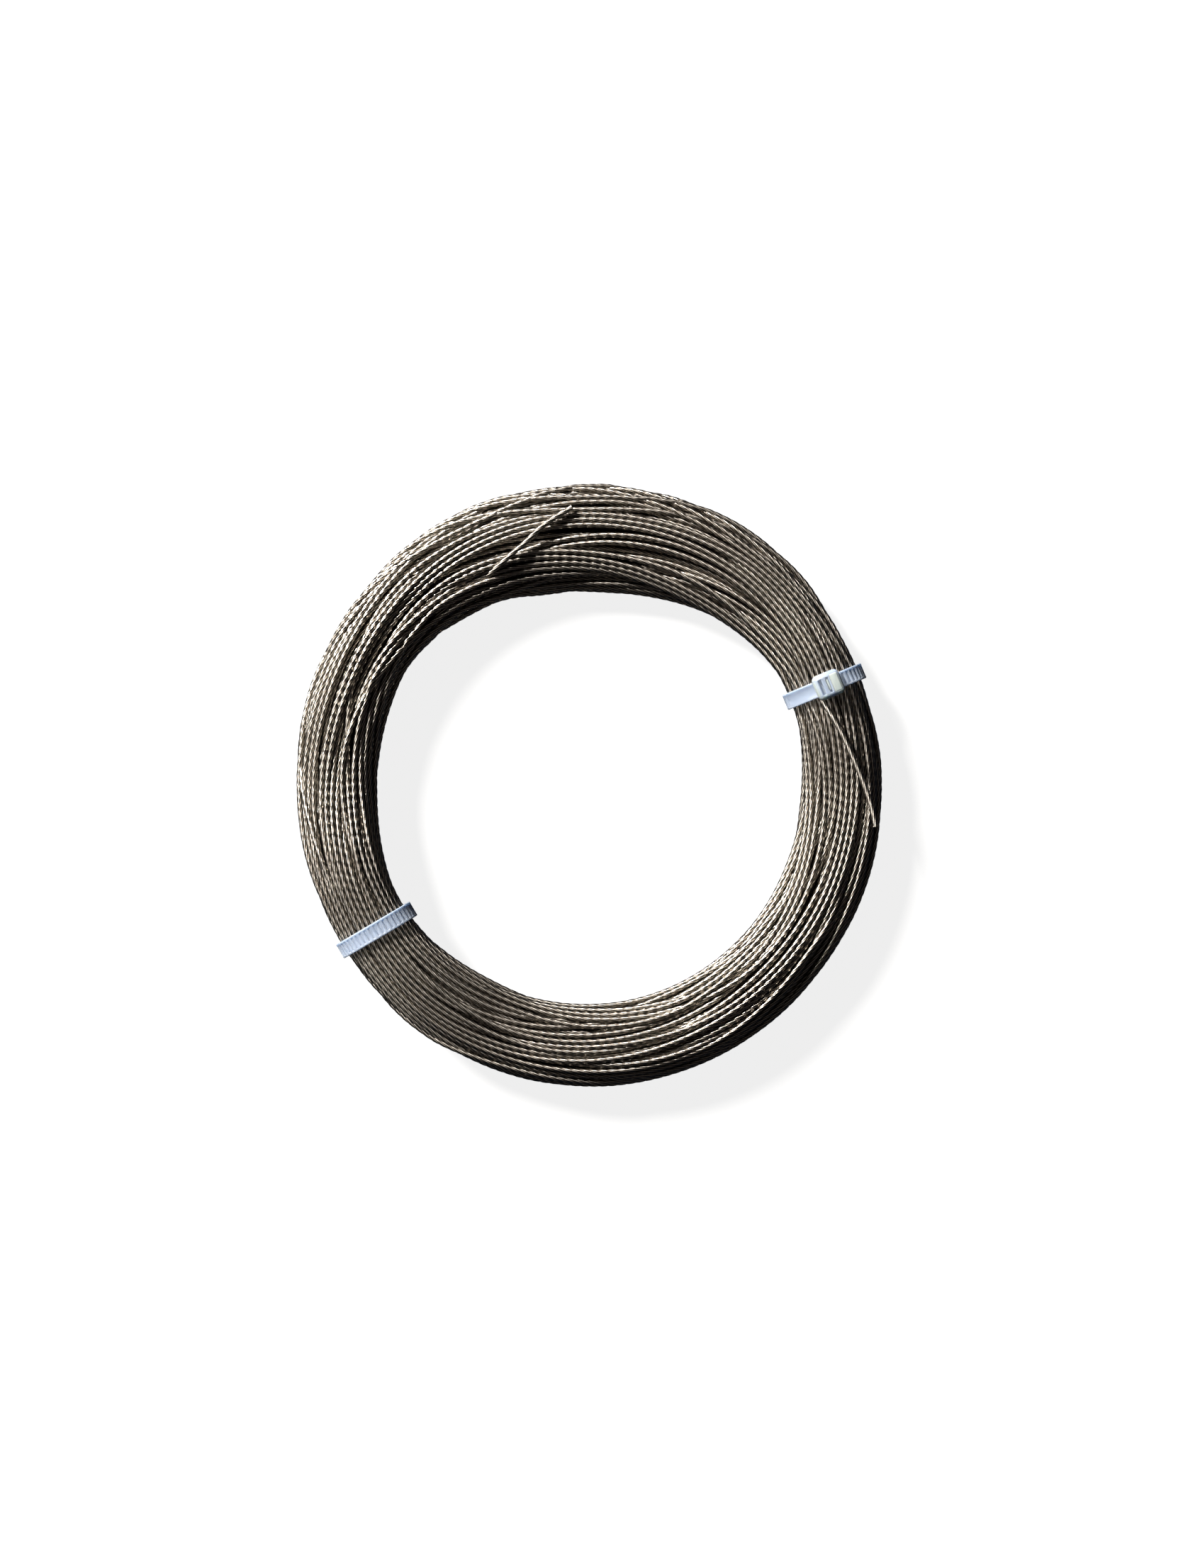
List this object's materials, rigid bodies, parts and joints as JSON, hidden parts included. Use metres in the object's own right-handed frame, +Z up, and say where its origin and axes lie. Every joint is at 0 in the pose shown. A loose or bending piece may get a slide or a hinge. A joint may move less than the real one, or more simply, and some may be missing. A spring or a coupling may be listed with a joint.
{
  "type": "coil of wire rope",
  "caption": "Flat round coil of thin stranded steel wire rope, held by nylon cable ties, with both rope ends free on top.",
  "frame": {"origin": "middle of the coil's footprint, on the floor that it lies on", "axes": "+Z up through the bore; +Y towards the loose side of the turns; +X towards the tie whose head is on top"},
  "size_m": [0.1662, 0.171, 0.0225],
  "materials": {
    "wire_rope": "bright drawn stainless wire, stranded, greyed in the lay",
    "nylon": "natural milky nylon, half clear, satin"
  },
  "bodies": {
    "root": {"wire_rope_coil": "wire_rope", "rope_end_right": "wire_rope", "rope_end_top": "wire_rope", "cable_tie_upper": "nylon", "cable_tie_lower": "nylon"}
  },
  "joints": []
}
